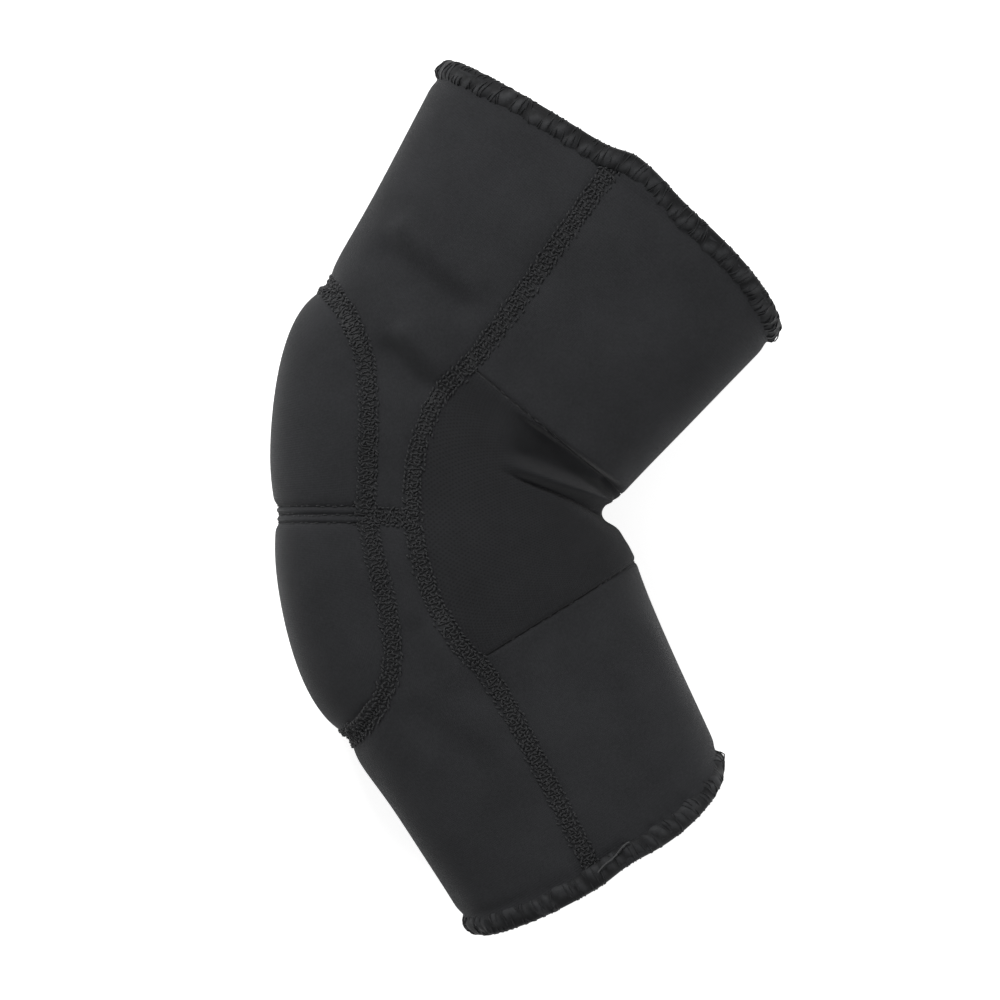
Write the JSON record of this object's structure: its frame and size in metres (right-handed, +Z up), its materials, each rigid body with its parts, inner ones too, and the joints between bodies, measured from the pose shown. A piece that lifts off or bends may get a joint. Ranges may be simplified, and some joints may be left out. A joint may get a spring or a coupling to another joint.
{
  "type": "elbow pad",
  "caption": "Padded elbow sleeve of black foam rubber, bent at the joint, with a crowned pad over the point of the elbow, flatlock seams and a stretch panel in the crook.",
  "frame": {"origin": "on the surface the sleeve lies on, under the middle of its bounding box", "axes": "+X from the pad towards the crook, +Y towards the upper-arm cuff, +Z up from the surface"},
  "size_m": [0.1478, 0.255, 0.0642],
  "materials": {
    "neoprene": "matte jersey-faced foam rubber, black",
    "perforated_stretch": "matte perforated stretch fabric, black",
    "thread": "matte sewing thread, black",
    "jersey_lining": "matte knitted lining, black",
    "pad_foam": "closed-cell foam, dark grey"
  },
  "bodies": {
    "upper_sleeve": {"upper_outer_panel": "neoprene", "upper_inner_panel": "neoprene", "elbow_pit_panel": "perforated_stretch", "upper_pad_cover": "neoprene", "upper_pad_foam": "pad_foam", "upper_pad_liner": "jersey_lining", "upper_pad_edge_seam": "thread", "near_upper_side_seam": "thread", "far_upper_side_seam": "thread", "upper_pit_seam": "thread", "pad_mid_seam": "thread", "near_mid_seam": "thread", "far_mid_seam": "thread", "top_hem": "thread"},
    "lower_sleeve": {"lower_outer_panel": "neoprene", "lower_inner_panel": "neoprene", "lower_pad_cover": "neoprene", "lower_pad_foam": "pad_foam", "lower_pad_liner": "jersey_lining", "lower_pad_edge_seam": "thread", "near_lower_side_seam": "thread", "far_lower_side_seam": "thread", "lower_pit_seam": "thread", "bottom_hem": "thread"}
  },
  "joints": [
    {"name": "elbow_flex", "type": "hinge", "parent": "upper_sleeve", "child": "lower_sleeve", "pos_m": [-0.06168, -0.0041, 0.031], "axis": [0, 0, 1], "range_deg": [-65, 8], "stiffness_Nm_per_rad": 0.05, "deforming": ["elbow_pit_panel", "upper_outer_panel", "lower_outer_panel", "upper_pad_cover", "lower_pad_cover", "upper_pad_foam", "lower_pad_foam", "upper_pad_liner", "lower_pad_liner", "near_upper_side_seam", "far_upper_side_seam", "near_lower_side_seam", "far_lower_side_seam", "pad_mid_seam", "near_mid_seam", "far_mid_seam"]}
  ]
}
